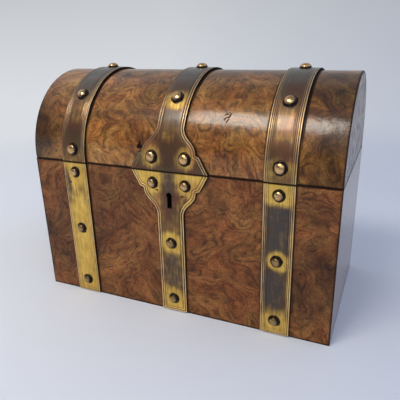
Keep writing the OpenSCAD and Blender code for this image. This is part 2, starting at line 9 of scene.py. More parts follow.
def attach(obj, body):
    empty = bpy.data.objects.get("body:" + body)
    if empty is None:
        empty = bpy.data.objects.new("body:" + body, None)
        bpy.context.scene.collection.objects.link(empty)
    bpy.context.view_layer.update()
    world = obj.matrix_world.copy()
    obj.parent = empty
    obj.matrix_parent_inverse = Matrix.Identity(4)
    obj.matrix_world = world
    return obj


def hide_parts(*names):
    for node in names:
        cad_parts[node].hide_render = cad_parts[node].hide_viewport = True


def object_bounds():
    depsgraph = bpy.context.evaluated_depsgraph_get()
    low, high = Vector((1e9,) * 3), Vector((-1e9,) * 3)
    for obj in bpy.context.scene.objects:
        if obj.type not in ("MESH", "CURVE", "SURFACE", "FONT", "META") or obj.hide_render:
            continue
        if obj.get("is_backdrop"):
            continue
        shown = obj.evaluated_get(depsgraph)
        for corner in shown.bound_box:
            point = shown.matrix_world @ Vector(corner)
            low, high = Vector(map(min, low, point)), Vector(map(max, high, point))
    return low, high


# A dome-topped money box: pine boards under burr walnut veneer, brass straps and nails.
# Blender works in metres; the sizes below are in millimetres, and mm turns them to metres.
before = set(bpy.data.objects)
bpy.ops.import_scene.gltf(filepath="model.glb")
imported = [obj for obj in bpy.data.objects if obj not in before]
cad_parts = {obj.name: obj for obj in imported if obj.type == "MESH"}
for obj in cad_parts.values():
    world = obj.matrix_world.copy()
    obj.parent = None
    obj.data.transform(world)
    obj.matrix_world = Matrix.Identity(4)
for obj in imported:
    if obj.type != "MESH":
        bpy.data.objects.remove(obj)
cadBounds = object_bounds()
mm = 0.001

# What the pieces share with the box under them
box = {
    "halfWidth": 115, "halfDepth": 60,
    "bodyTop": 109.8, "lidBottom": 110.2,  # either side of the seam
    "barrelHeight": 112.3,  # the lid is a half barrel over a low straight rim
    "veneer": 1.0,
}
rimDrop = box["barrelHeight"] - box["lidBottom"]
barrelArc = math.pi * box["halfDepth"]


def toLinear(hexColour):
    parts = [int(hexColour[i:i + 2], 16) / 255 for i in (1, 3, 5)]
    return [c / 12.92 if c <= 0.04045 else ((c + 0.055) / 1.055) ** 2.4 for c in parts] + [1.0]


def nodeAdder(tree):
    tree.nodes.clear()
    modes = {"Mix": "data_type", "MapRange": "interpolation_type"}

    def add(kind, *inputs, stops=(), **settings):
        # kind may end in a mode, such as an operation. The inputs in use come in their order, or
        # by name in a dictionary: each is a value, a hex colour, a socket, or a node, which
        # stands for its first output in use. stops are a colour ramp's places and colours
        kind, *mode = kind.split()
        node = tree.nodes.new("ShaderNode" + kind)
        if mode:
            settings[modes.get(kind, "operation")] = mode[0]
        for key, value in settings.items():
            setattr(node, key, value)
        if inputs and isinstance(inputs[0], dict):
            pairs = [(node.inputs[key], value) for key, value in inputs[0].items()]
        else:
            pairs = zip([socket for socket in node.inputs if socket.enabled], inputs)
        for socket, value in pairs:
            if isinstance(value, bpy.types.Node):
                value = next(output for output in value.outputs if output.enabled)
            if isinstance(value, bpy.types.NodeSocket):
                tree.links.new(value, socket)
            else:
                socket.default_value = toLinear(value) if isinstance(value, str) else value
        for i, (position, colour) in enumerate(stops):
            stop = node.color_ramp.elements[i] if i < 2 else node.color_ramp.elements.new(position)
            stop.position = position
            stop.color = toLinear(colour)
        return node
    return add


def newMaterial(name):
    material = bpy.data.materials.new(name)
    material.use_nodes = True
    add = nodeAdder(material.node_tree)
    return material, add, add("TexCoord").outputs["Object"]


def setSurface(add, links):
    add("OutputMaterial", {"Surface": add("BsdfPrincipled", links)})


def cornerDirtAndShade(add, reach, share):
    # painted shade and old dirt where surfaces meet: 0 in the open, share in a corner narrower than
    # reach mm
    opened = add("AmbientOcclusion", {"Distance": reach * mm}, samples=8).outputs["AO"]
    return add("MapRange SMOOTHSTEP", opened, 0.5, 0.96, share, 0.0)


def inSpot(add, place, spot, inside, outside, core=0.4, edge=1.0):
    # inside at the core of a round spot (x, y, z, radius), outside past its edge; core and edge
    # are shares of the radius
    x, y, z, radius = spot
    away = add("VectorMath DISTANCE", place, (x * mm, y * mm, z * mm))
    return add("MapRange SMOOTHSTEP", away, core * radius * mm, edge * radius * mm, inside, outside)


def addObject(name, data):
    made = bpy.data.objects.new(name, data)
    bpy.context.scene.collection.objects.link(made)
    return made


def solidMesh(name, points, faces):
    # points in millimetres; all faces are turned to look outward
    mesh = bpy.data.meshes.new(name)
    mesh.from_pydata([tuple(c * mm for c in p) for p in points], [], faces)
    work = bmesh.new()
    work.from_mesh(mesh)
    bmesh.ops.recalc_face_normals(work, faces=work.faces)
    work.to_mesh(mesh)
    work.free()
    return mesh


def buildPiece(name, points, faces, material, body, node, marks, sharp=35):
    # marks are named numbers kept at each point for the material
    mesh = solidMesh(name, points, faces)
    for mark, values in marks.items():
        mesh.attributes.new(mark, "FLOAT", "POINT").data.foreach_set("value", np.float32(values))
    mesh.shade_smooth()
    mesh.set_sharp_from_angle(angle=math.radians(sharp))
    mesh.materials.append(material)
    piece = addObject(name, mesh)
    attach(piece, body)
    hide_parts(node)
    return piece


def smoothStep(low, high, x):
    t = np.clip((np.asarray(x, float) - low) / (high - low), 0, 1)  # runs down where high < low
    return t * t * (3 - 2 * t)


def wobble(x, y, z, size, seed=0.0):
    return noise.noise(Vector((x / size + seed, y / size - seed, z / size + 2 * seed)))


print("camera")
view = {
    "azimuth": 24.12685, "elevation": 20.23048, "roll": -1.42726,  # degrees
    "place": (138.459, -316.838, 196.002),
    "lens": 40.1175, "sensor": 36,
    "nearest": 0.01,  # metres
}
lens = bpy.data.cameras.new("camera")
lens.lens = view["lens"]
lens.sensor_width = view["sensor"]
lens.clip_start = view["nearest"]
camera = addObject("camera", lens)
camera.matrix_world = Matrix.Translation(Vector(view["place"]) * mm)
for degrees, axis in ((view["azimuth"], "Z"), (90 - view["elevation"], "X"), (view["roll"], "Z")):
    camera.matrix_world = camera.matrix_world @ Matrix.Rotation(math.radians(degrees), 4, axis)
bpy.context.scene.camera = camera
bpy.context.scene.view_settings.view_transform = "Standard"


print("floor and light")
studio = {
    "paper": [(0.0, "#F8F9FB"), (1.0, "#ACB8D0")],  # left to right: painted light, paler on the left, darker and bluer on the right
    "lowTones": [(0.0, "#DADDE2"), (1.0, "#9FA9BF")],  # as the eye meets it far off, low down
    "highTones": [(0.0, "#B4B7BA"), (1.0, "#999DA4")],  # and higher up
    "farTone": "#C6CBD1",  # where the paper ends and the room begins
    "front": 30, "back": 0.75, "bend": 0.45, "rise": 1.7, "halfWidth": 30,  # metres
}
softboxes = {
    # where it stands, what it looks at and its size, in metres, its power and its colour;
    # the key stands in front, to the left and above, and its image is the band on the lid
    "keySoftbox": ((-0.27, -0.70, 1.10), (0, 0, 0.14), (0.50, 0.35), 7.1, "#FFF8EC"),
    "fillSoftbox": ((0.7, -1.7, 1.5), (0, 0, 0.1), (2.4, 1.6), 14.9, "#FFFCF8"),
    # cool daylight from the right and behind lifts the shadow
    "daylightSoftbox": ((1.7, 0.9, 1.1), (0.15, 0, 0), (1.4, 1.2), 5.0, "#B4CCFF"),
}
room = {
    # pale walls behind and at the sides, dimmer ones in front
    "walls": [(0.0, "#505255"), (1.0, "#F2F3F6"), (0.3, "#8A8C90"), (0.55, "#DEE2E8")],
    "ceiling": "#84888E", "window": "#A8C0F6", "horizon": "#B8BCC2",
    "strength": 1.24,
}


def makeSweep():
    # flat in front, bent up behind the box
    profile, steps = [(-studio["front"], 0.0)], 12
    for i in range(steps + 1):
        turn = math.radians(90 * i / steps)
        profile.append((studio["back"] + studio["bend"] * math.sin(turn),
                        studio["bend"] * (1 - math.cos(turn))))
    profile.append((studio["back"] + studio["bend"], studio["rise"]))
    points = [(side * studio["halfWidth"], y, z) for y, z in profile for side in (-1, 1)]
    faces = [(2 * i, 2 * i + 1, 2 * i + 3, 2 * i + 2) for i in range(len(profile) - 1)]
    mesh = bpy.data.meshes.new("sweep")
    mesh.from_pydata(points, [], faces)
    mesh.shade_smooth()
    mesh.materials.append(backdropPaper())
    addObject("sweep", mesh)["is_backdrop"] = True


def backdropPaper():
    # Matt paper: near the box it takes a soft shadow, further off it keeps an even pale tone to the
    # camera and in reflections, apart from painted light: paler on the left and low down, darker on
    # the right and higher up
    paper, add, place = newMaterial("mattBackdropPaper")
    parts = add("SeparateXYZ", place).outputs
    across = add("MapRange", parts["X"], -0.6, 0.75)
    low = add("ValToRGB", across, stops=studio["lowTones"])
    high = add("ValToRGB", across, stops=studio["highTones"])
    rise = add("MapRange", parts["Z"], 0.0, 0.6)
    tone = add("Mix RGBA", rise, low, high)
    rays = add("LightPath").outputs
    seen = add("Math MAXIMUM", rays["Is Camera Ray"], rays["Is Glossy Ray"])
    seen = add("Math MAXIMUM", seen, rays["Is Transmission Ray"])
    away = add("VectorMath LENGTH", place)
    haze = add("MapRange", away, 3.5, 13.0)
    tone = add("Mix RGBA", haze, tone, studio["farTone"])
    far = add("MapRange SMOOTHSTEP", away, 0.3, 0.8)
    share = add("Math MULTIPLY", seen, far)
    own = add("ValToRGB", across, stops=studio["paper"])
    matt = add("BsdfPrincipled", {"Base Color": own, "Roughness": 0.9, "Specular IOR Level": 0.2})
    even = add("Emission", {"Color": tone, "Strength": 1.0})
    add("OutputMaterial", {"Surface": add("MixShader", share, matt, even)})
    return paper


def addSoftbox(name, place, aim, size, power, colour):
    lamp = bpy.data.lights.new(name, "AREA")
    lamp.shape = "RECTANGLE"
    lamp.size, lamp.size_y = size
    lamp.energy = power
    lamp.color = toLinear(colour)[:3]
    light = addObject(name, lamp)
    light.location = place
    light.rotation_euler = (Vector(aim) - Vector(place)).to_track_quat("-Z", "Y").to_euler()


def makeRoomLight(add):
    # paler behind, above and at the sides, dimmer in front, as in a room with pale walls
    parts = add("SeparateXYZ", add("TexCoord").outputs["Generated"]).outputs
    depth = add("MapRange", parts["Y"], -1.0, 1.0)
    colour = add("ValToRGB", depth, stops=room["walls"])
    rise = add("MapRange", parts["Z"], 0.55, 0.95)
    side = add("MapRange", parts["X"], 0.3, 0.95, 0.0, 0.7)
    flat = add("MapRange", parts["Z"], 0.04, 0.22, 1.0, 0.0)
    for share, tone in ((rise, "ceiling"), (side, "window"), (flat, "horizon")):
        colour = add("Mix RGBA", share, colour, room[tone])
    background = add("Background", {"Color": colour, "Strength": room["strength"]})
    # the camera meets an even wall where the paper ends
    wall = add("Background", {"Color": studio["farTone"], "Strength": 1.0})
    low = add("MapRange", parts["Z"], 0.2, 0.6, 1.0, 0.0)
    share = add("Math MULTIPLY", add("LightPath").outputs["Is Camera Ray"], low)
    add("OutputWorld", {"Surface": add("MixShader", share, background, wall)})


makeSweep()
for name, values in softboxes.items():
    addSoftbox(name, *values)
world = bpy.data.worlds.new("roomLight")
world.use_nodes = True
makeRoomLight(nodeAdder(world.node_tree))
bpy.context.scene.world = world


print("veneer")
# Burr walnut in thin leaves, French polished: swirling growth lines, dark buds and a thin gloss
burr = {
    # sizes in mm; the figure bends as (size of a bend, how far it moves)
    "bends": [(70, 28), (21, 6.5), (6, 1.05)],
    "hill": 30, "hillHeight": 62,
    "growthLine": 4.4,  # between two fine growth lines
    "growthZone": 21,  # between two dark zones
    "cloud": 22, "blotch": 7, "bud": 8.5, "fleck": 1.2,
    "linePatch": 9, "warmPatch": 15, "dullPatch": 7, "polishWave": 14, "polishRipple": 5,
    "polishRoughness": 0.175,
    # the black of old wax, also used for painted shade and painted shadow
    "wax": "#150C08",
}
veneerLooks = {
    # the imported pieces, the shift of the leaf in the burr, the heart that the growth lines run
    # round, how far the tones stand apart, tones from dark to light, and darker places as
    # (x, y, z, radius, what they keep of the light), partly the wood's own tone and partly
    # painted shade towards the ends and over the top of the lid
    "front": {
        "nodes": ["front_veneer"], "shift": (3, 1, 8), "heart": (-6, -60, -12),
        "gloss": 0.3, "spread": 1.65,
        "tones": ("#2A1409", "#533018", "#734826", "#8D6337", "#A37B4B"),
        "darker": [(-72, -60, 60, 50, 0.72), (108, -60, 45, 36, 0.55), (-114, -60, 50, 34, 0.72),
                   (45, -60, 60, 40, 1.12), (-32, -60, 97, 14, 0.62), (-17, -60, 5, 7, 0.4),
                   (31, -60, 98, 9, 0.7), (103, -60, 98, 17, 0.65), (-108, -60, 60, 12, 0.7)],
    },
    "dome": {
        "nodes": [], "shift": (0, 0, 0), "heart": (-66, -60, 118),
        "gloss": 0.8, "spread": 1.3, "veins": 0.38,
        "tones": ("#2E170A", "#613A1A", "#875929", "#AA7B42", "#C69A5F"),
        "bold": (-45, -50, 140, 48, 0.15),  # the fine lines are bolder there
        # the polish is duller, or where the share is negative glossier
        "dull": [(106, -60, 118, 34, 0.65), (112, -45, 149, 26, -0.3)],
        "uneven": (108, -45, 149, 34, 4.0),  # the polish is wavier there
        # painted shadow along each strap's edge, with black wax: x, how high it starts and half its
        # width
        "beside": [(-66.5, 126, 1.0), (88.5, 122, 1.0), (12.1, 146, 1.0), (66.7, 123, 0.7),
                   (-88.3, 130, 0.5), (-10.0, 148, 0.6)],
        "darker": [(-22, -43, 153, 13, 0.62), (108, -26, 165, 40, 0.28), (112, -56, 128, 38, 0.34),
                   (114, -45, 149, 26, 0.6), (-112, -52, 135, 36, 0.2), (30, -44, 153, 7, 0.72),
                   (52, -40, 157, 8, 0.75), (-20, 0, 178, 62, 0.62), (55, -12, 174, 58, 0.58),
                   (45, -57, 128, 36, 0.9)],
    },
    "end": {
        "nodes": ["left_veneer", "right_veneer"], "shift": (11, 5, 2), "heart": (115, 20, 40),
        "gloss": 1.0, "outline": 59,  # how far from the barrel's axis it turns darker
        "tones": ("#28150B", "#50301B", "#6C4424", "#8A6032", "#A47A44"),
    },
    "lidEnd": {
        "nodes": ["lid_left_veneer", "lid_right_veneer"],
        "shift": (11, 5, 2), "heart": (115, 20, 40),
        "gloss": 0.85, "patchy": 0.5, "outline": 59,  # its polish has gone dull in places
        "tones": ("#22120A", "#442916", "#5E3B20", "#78532C", "#906B3C"),
    },
    "back": {
        "nodes": ["back_veneer"], "shift": (5, 9, 3), "heart": (20, 60, 30),
        "tones": ("#2C160B", "#5B361A", "#7D4E25", "#A07038", "#BE8C4C"),
    },
}
keyhole = {
    "height": 93, "round": 4.7, "slot": 3.5, "reach": 9.2,
    "shaded": (1, -56.5, 91), "holeShade": (9, 10.5),  # painted shade: black round this place, none further off
}


def keyholeShade(add, place):
    # painted shade: the wood round the keyhole and in its walls is black, as the inside of the hole
    # is in shade
    black, clean = keyhole["holeShade"]
    away = add("VectorMath DISTANCE", place, Vector(keyhole["shaded"]) * mm)
    return add("MapRange", away, black * mm, clean * mm, 1.0, 0.0)


def burrWalnut(name, look):
    material, add, place = newMaterial(name)
    shift = Vector(look["shift"]) * 0.1
    leaf = add("VectorMath ADD", place, shift)
    figure = leaf
    for size, reach in burr["bends"]:
        swirl = add("TexNoise", figure, 1 / (size * mm), 1.0)
        centred = add("VectorMath SUBTRACT", swirl.outputs["Color"], (0.5, 0.5, 0.5))
        figure = add("VectorMath MULTIPLY_ADD", centred, (2 * reach * mm,) * 3, figure)

    # growth lines run round the heart and round each bud, crowded in one place, wide in another
    heart = add("VectorMath DISTANCE", figure, Vector(look["heart"]) * mm + shift)
    heart = add("Math MULTIPLY", heart, 0.3)
    hills = add("TexNoise", figure, 1 / (burr["hill"] * mm), 2.0, 0.45)
    rings = add("Math MULTIPLY_ADD", hills, burr["hillHeight"] * mm, heart)
    waves = {}
    for kind in ("growthLine", "growthZone"):
        turn = add("Math MULTIPLY", rings, 2 * math.pi / (burr[kind] * mm))
        waves[kind] = add("Math SINE", turn)

    # tone: broad clouds, blotches and the dark zones
    tone = 0.05
    for kind, share in (("cloud", 0.42), ("blotch", 0.5)):
        cloud = add("TexNoise", figure, 1 / (burr[kind] * mm), 4.0, 0.6)
        tone = add("Math MULTIPLY_ADD", cloud, share, tone)
    tone = add("Math MULTIPLY_ADD", waves["growthZone"], 0.045, tone)
    spread = look.get("spread", 1.2)
    stops = [(0.5 + spread * away, look["tones"][i])
             for away, i in ((-0.23, 0), (0.24, 4), (-0.09, 1), (0, 2), (0.11, 3))]
    colour = add("ValToRGB", tone, stops=stops)

    # fine dark lines that come and go
    patch = add("TexNoise", leaf, 1 / (burr["linePatch"] * mm), 3.0)
    comes = add("MapRange", patch, 0.36, 0.66, -0.2, -0.72)
    if "bold" in look:
        *spot, gain = look["bold"]
        comes = add("Math MULTIPLY", comes, inSpot(add, place, spot, 1 + gain, 1.0, core=0.5))
    crest = add("MapRange", waves["growthLine"], -1.0, 1.0)
    crest = add("Math POWER", crest, 2.2)
    shade = add("Math MULTIPLY_ADD", crest, comes, 1.2)

    # buds, flecks, and thin black veins in some places
    bud = add("TexVoronoi", {"Vector": figure, "Scale": 1 / (burr["bud"] * mm)}).outputs
    grown = add("SeparateXYZ", bud["Color"])
    size = add("MapRange", grown, 0.5, 1.0, 0.0, 0.13)
    inside = add("Math SUBTRACT", bud["Distance"], size)
    eye = add("MapRange", inside, -0.04, 0.05, 0.35, 1.0)
    fleck = add("TexNoise", figure, 1 / (burr["fleck"] * mm), 2.0)
    flecks = add("MapRange", fleck, 0.3, 0.7, 0.62, 1.38)
    vein = add("Math ABSOLUTE", waves["growthZone"])
    vein = add("MapRange", vein, 0.03, 0.24, 1.0, 0.0)
    some = add("MapRange", patch, 0.45, 0.55, 0.0, look.get("veins", 0.3))
    vein = add("Math MULTIPLY", vein, some)
    factors = [eye, flecks, add("Math SUBTRACT", 1.0, vein)]

    # darker places, partly the wood's own tone and partly painted shade, their outlines bent as the
    # figure is
    bent = add("VectorMath SUBTRACT", figure, shift)
    for *spot, keep in look.get("darker", []):
        factors.append(inSpot(add, bent, spot, keep, 1.0, core=0.35, edge=1.1))
    for factor in factors:
        shade = add("Math MULTIPLY", shade, factor)
    figured = add("VectorMath SCALE", colour, shade)
    warmth = add("TexNoise", figure, 1 / (burr["warmPatch"] * mm), 3.0)
    warmth = add("ValToRGB", warmth, stops=[(0.34, "#FFE9DA"), (0.66, "#EEF2E0"), (0.5, "#FAF2E6")])
    figured = add("VectorMath MULTIPLY", figured, warmth)

    # darkening: old wax and dirt in each knock and along the seam, painted shade in corners and
    # round the keyhole, painted shadow and wax beside the straps, and darker lines along the
    # arrises and the foot
    parts = add("SeparateXYZ", place).outputs
    if "outline" in look:
        over = add("Math SUBTRACT", parts["Z"], box["barrelHeight"] * mm)
        over = add("Math MAXIMUM", over, 0.0)
        out = add("VectorMath LENGTH", add("CombineXYZ", 0.0, parts["Y"], over))
        edge = look["outline"]
    else:
        out = add("Math ABSOLUTE", parts["X"])
        edge = box["halfWidth"] - 0.2
    edgeLines = (out, edge - 1.2, edge - 0.2)
    seam = add("Math SUBTRACT", parts["Z"], (box["bodyTop"] + box["lidBottom"]) / 2 * mm)
    seam = add("Math ABSOLUTE", seam)
    lines = [cornerDirtAndShade(add, 2.6, 0.85)]
    for reach, clean, blackened in (edgeLines, (seam, 1.3, 0.7), (parts["Z"], 1.8, 0.5)):
        lines.append(add("MapRange", reach, clean * mm, blackened * mm, 0.0, 0.9))
    lines.append(keyholeShade(add, place))
    # painted shadow and black wax beside each strap
    for x, start, half in look.get("beside", []):
        near = add("Math SUBTRACT", parts["X"], x * mm)
        near = add("Math ABSOLUTE", near)
        near = add("MapRange", near, (half + 0.3) * mm, (half - 0.3) * mm, 0.0, 0.93)
        high = add("MapRange", parts["Z"], start * mm, (start + 18) * mm)
        lines.append(add("Math MULTIPLY", near, high))
    darkening = add("Attribute", attribute_name="damage").outputs["Fac"]
    for line in lines:
        darkening = add("Math MAXIMUM", darkening, line)
    darkened = add("Mix RGBA", darkening, figured, burr["wax"])

    # the polish lies in slow waves over open pores
    polish = add("TexNoise", place, 1 / (burr["polishWave"] * mm), 2.0)
    if "uneven" in look:
        *spot, gain = look["uneven"]
        ripple = add("TexNoise", place, 1 / (burr["polishRipple"] * mm), 3.0)
        ripple = add("Math SUBTRACT", ripple, 0.5)
        ripple = add("Math MULTIPLY", ripple, inSpot(add, place, spot, gain, 0.0))
        polish = add("Math MULTIPLY_ADD", ripple, 0.3, polish)
    pores = add("Bump", {"Height": fleck, "Strength": 0.08, "Distance": 0.2 * mm})
    sheet = add("Bump", {"Height": polish, "Strength": 0.25, "Distance": 0.5 * mm})
    gloss = look.get("gloss", 0.6)
    if "patchy" in look:
        dull = add("TexNoise", figure, 1 / (burr["dullPatch"] * mm), 4.0)
        gloss = add("MapRange", dull, 0.35, 0.62, gloss * (1 - look["patchy"]), gloss)
    clean = add("Math SUBTRACT", 1.0, darkening)  # no gloss where it is darkened: on the dirt and on the painted shade
    for *spot, lost in look.get("dull", []):
        clean = add("Math MULTIPLY", clean, inSpot(add, place, spot, 1 - lost, 1.0))
    gloss = add("Math MULTIPLY", clean, gloss)
    setSurface(add, {"Base Color": darkened, "Roughness": 0.45, "Normal": pores,
                     "Specular IOR Level": 0.1, "Coat Weight": gloss, "Coat Normal": sheet,
                     "Coat Roughness": burr["polishRoughness"], "Coat IOR": 1.5})
    return material


veneers = {part: burrWalnut("burrWalnut_" + part, look) for part, look in veneerLooks.items()}


def dressNode(node, material, width):
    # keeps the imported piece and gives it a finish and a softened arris, width mm wide
    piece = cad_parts[node]
    piece.data.materials.clear()
    piece.data.materials.append(material)
    soften = piece.modifiers.new("arris", "BEVEL")
    soften.width = width * mm
    soften.segments = 3
    soften.limit_method = "ANGLE"
    soften.angle_limit = math.radians(50)


for part, look in veneerLooks.items():
    for node in look["nodes"]:
        dressNode(node, veneers[part], 0.35)

domeSheet = {
    "across": 2.0, "around": 2.0,  # spacing of the points, in mm
    # closer round the chip and the scratches, as (middle, half width, spacing)
    "closeAcross": [(-22, 4, 0.35), (39.4, 3.2, 0.2)],
    "closeAround": [(15.5, 4.2, 0.35), (38.5, 4.8, 0.22)],
    "arris": 0.6,  # worn round at both ends
    # the chip as (x, distance round from the rim, half width, half length)
    "chip": {"lobes": [(-22.0, 15.3, 2.7, 2.0), (-22.0, 17.4, 0.9, 1.9)], "depth": 0.85},
    "strokes": [  # short scratches: x, distance round from the rim, end x, end distance, width
        (37.2, 40.1, 38.0, 40.9, 0.42), (38.0, 40.9, 39.5, 41.0, 0.42),
        (41.4, 41.7, 40.8, 40.2, 0.5), (40.8, 40.2, 40.4, 38.7, 0.5),
        (37.5, 36.6, 37.6, 37.7, 0.42), (37.6, 37.7, 38.5, 38.4, 0.45),
        (38.5, 38.4, 39.4, 39.0, 0.5), (40.3, 37.5, 39.6, 36.5, 0.45),
        (39.6, 36.5, 38.9, 34.8, 0.38), (37.7, 42.2, 37.9, 42.3, 0.4),
        (39.8, 42.4, 40.1, 42.4, 0.42),
    ],
    "strokeDepth": 0.12,
    "wave": 0.02, "waveSize": 22,  # the sheet is never quite even
}


def spacing(start, end, step, close, least=0.12):
    # regular marks between two places, with closer ones where close says (place, half width,
    # step), and none nearer to another than least
    marks = set(np.linspace(start, end, round((end - start) / step) + 1))
    for middle, reach, closeStep in close:
        marks |= set(np.arange(middle - reach, middle + reach, closeStep))
    marks = sorted(m for m in marks if start <= m <= end)
    kept = [marks[0]]
    for m in marks[1:]:
        if m - kept[-1] > least:
            kept.append(m)
    kept[-1] = marks[-1]
    return kept


def roundBarrel(along, height, x):
    # a point over the lid: along starts at the rim's front edge, height is above the veneer
    radius = box["halfDepth"]
    if along < rimDrop:
        return (x, -radius - height, box["lidBottom"] + along)
    if along > rimDrop + barrelArc:
        return (x, radius + height, box["barrelHeight"] - (along - rimDrop - barrelArc))
    turn = (along - rimDrop) / radius
    return (x, -(radius + height) * math.cos(turn),
            box["barrelHeight"] + (radius + height) * math.sin(turn))


def strokeDamage(x, s):
    # 1 in the middle of a scratch, 0 beside it
    found = 0.0
    for x0, s0, x1, s1, width in domeSheet["strokes"]:
        t = min(max(((x - x0) * (x1 - x0) + (s - s0) * (s1 - s0)) /
                    ((x1 - x0) ** 2 + (s1 - s0) ** 2), 0), 1)
        away = math.hypot(x - x0 - t * (x1 - x0), s - s0 - t * (s1 - s0))
        found = max(found, float(1 - smoothStep(width * 0.4, width, away)))
    return found


def chipDamage(x, s):
    # 1 in the chip, 0 past its ragged edge
    reach = min(math.hypot((x - cx) / wide, (s - cs) / long)
                for cx, cs, wide, long in domeSheet["chip"]["lobes"])
    return float(1 - smoothStep(0.72, 1.0, reach + 0.3 * wobble(x, s, 0, 1.3)))


def makeDomeVeneer():
    half, arris = box["halfWidth"], domeSheet["arris"]
    total = 2 * rimDrop + barrelArc
    xs = spacing(-half, half, domeSheet["across"], domeSheet["closeAcross"]
                 + [(-half + 0.5, 0.5, 0.15), (half - 0.5, 0.5, 0.15)])
    around = spacing(0, total, domeSheet["around"], domeSheet["closeAround"])
    points, damage = [], []
    for s in around:
        for x in xs:
            inset = min(half - abs(x), arris)
            drop = arris - math.sqrt(max(arris ** 2 - (arris - inset) ** 2, 0))
            lost, scratched = chipDamage(x, s), strokeDamage(x, s)
            depth = lost * domeSheet["chip"]["depth"] * (0.8 + 0.2 * wobble(x, s, 3, 0.8))
            height = -drop - depth - domeSheet["strokeDepth"] * scratched
            height += domeSheet["wave"] * (wobble(x, s, 0, domeSheet["waveSize"], 4) - 1)
            points.append(roundBarrel(s, height, x))
            damage.append(max(lost, scratched))
    count, columns = len(points), len(xs)
    points += [roundBarrel(s, -box["veneer"], x) for s in around for x in xs]  # the inner side
    damage += [0.0] * count
    faces = []
    for i in range(len(around) - 1):
        for j in range(columns - 1):
            a = i * columns + j
            faces.append((a, a + 1, a + columns + 1, a + columns))
            faces.append(tuple(count + k for k in (a, a + columns, a + columns + 1, a + 1)))
    rim = list(range(columns))
    far = [(len(around) - 1) * columns + j for j in rim]
    left = [i * columns for i in range(len(around))]
    right = [a + columns - 1 for a in left]
    for edge in (rim, far, left, right):
        faces += [(a, b, count + b, count + a) for a, b in zip(edge, edge[1:])]
    buildPiece("domeVeneer", points, faces, veneers["dome"], "lid",
               "dome_veneer", {"damage": damage})


makeDomeVeneer()


print("inside")


def oldPine(name, along):
    # Old pine, planed and never polished: honey brown, darker late wood in lines along the board
    material, add, place = newMaterial(name)
    stretch = [1 / (2.2 * mm)] * 3
    stretch["xyz".index(along)] = 1 / (60 * mm)
    drawn = add("VectorMath MULTIPLY", place, stretch)
    grain = add("TexNoise", {"Vector": drawn, "Scale": 1.0, "Detail": 4.0, "Distortion": 0.4})
    colour = add("ValToRGB", grain, stops=[(0.3, "#7A5632"), (0.7, "#B48C58"), (0.5, "#9C7444")])
    # painted shade: black round the keyhole
    shaded = add("Mix RGBA", keyholeShade(add, place), colour, "#0A0705")
    relief = add("Bump", {"Height": grain, "Strength": 0.3, "Distance": 0.2 * mm})
    setSurface(add, {"Base Color": shaded, "Roughness": 0.6, "Normal": relief,
                     "Specular IOR Level": 0.3})
    return material


def sugarPaper():
    # Dark blue paper on card: flat, soft, with short fibres and faded rubbed places
    material, add, place = newMaterial("sugarPaper")
    fibre = add("TexNoise", {"Vector": place, "Scale": 1 / (0.9 * mm), "Detail": 4.0,
                             "Distortion": 1.2})
    faded = add("TexNoise", place, 1 / (38 * mm), 4.0)
    base = add("ValToRGB", faded, stops=[(0.35, "#2C3850"), (0.7, "#4C5A74")])
    mottle = add("MapRange", fibre, 0.3, 0.7, 0.84, 1.16)
    colour = add("VectorMath SCALE", base, mottle)
    relief = add("Bump", {"Height": fibre, "Strength": 0.4, "Distance": 0.15 * mm})
    setSurface(add, {"Base Color": colour, "Roughness": 0.85, "Normal": relief,
                     "Specular IOR Level": 0.25})
    return material


def filedMetal(name, tones, roughness):
    # Filed by hand and left: fine scratches one way, dull with tarnish in patches
    material, add, place = newMaterial(name)
    stretch = (1 / (9 * mm), 1 / (0.5 * mm), 1 / (0.5 * mm))
    drawn = add("VectorMath MULTIPLY", place, stretch)
    scratch = add("TexNoise", drawn, 1.0, 3.0)
    stain = add("TexNoise", place, 1 / (7 * mm), 4.0)
    colour = add("ValToRGB", stain, stops=[(0.35, tones[0]), (0.65, tones[1])])
    rough = add("MapRange", scratch, 0.3, 0.7, roughness - 0.08, roughness + 0.1)
    relief = add("Bump", {"Height": scratch, "Strength": 0.25, "Distance": 0.05 * mm})
    setSurface(add, {"Base Color": colour, "Metallic": 1.0, "Roughness": rough, "Normal": relief})
    return material


insideFinishes = {
    # material, width of the arris in mm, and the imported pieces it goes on
    "pineAlongX": (oldPine("oldPineAlongX", "x"), 0.3, [
        "base_board", "front_board", "back_board", "lid_front_rail", "lid_back_rail"]
        + [f"stave_{i}" for i in range(1, 8)]),
    "pineAlongY": (oldPine("oldPineAlongY", "y"), 0.3, [
        "left_board", "right_board", "lid_left_end", "lid_right_end"]),
    "paper": (sugarPaper(), 0.2, [
        "floor_lining", "front_lining", "back_lining", "left_lining", "right_lining",
        "dome_lining", "lid_left_lining", "lid_right_lining"]),
    "brass": (filedMetal("filedBrass", ("#8A7040", "#B8985A"), 0.38), 0.12, [
        "lock_plate", "lock_screws", "link_plate", "link_plate_screws", "left_hinge_body_leaf",
        "right_hinge_body_leaf", "left_hinge_lid_leaf", "right_hinge_lid_leaf",
        "hinge_body_screws", "hinge_lid_screws"]),
    "steel": (filedMetal("filedSteel", ("#4A4744", "#74706A"), 0.4), 0.08, [
        "lock_case", "drill_pin", "bolt_studs", "bolt_spring", "bolt", "hinge_pins"]),
}
for material, arris, nodes in insideFinishes.values():
    for node in nodes:
        dressNode(node, material, arris)


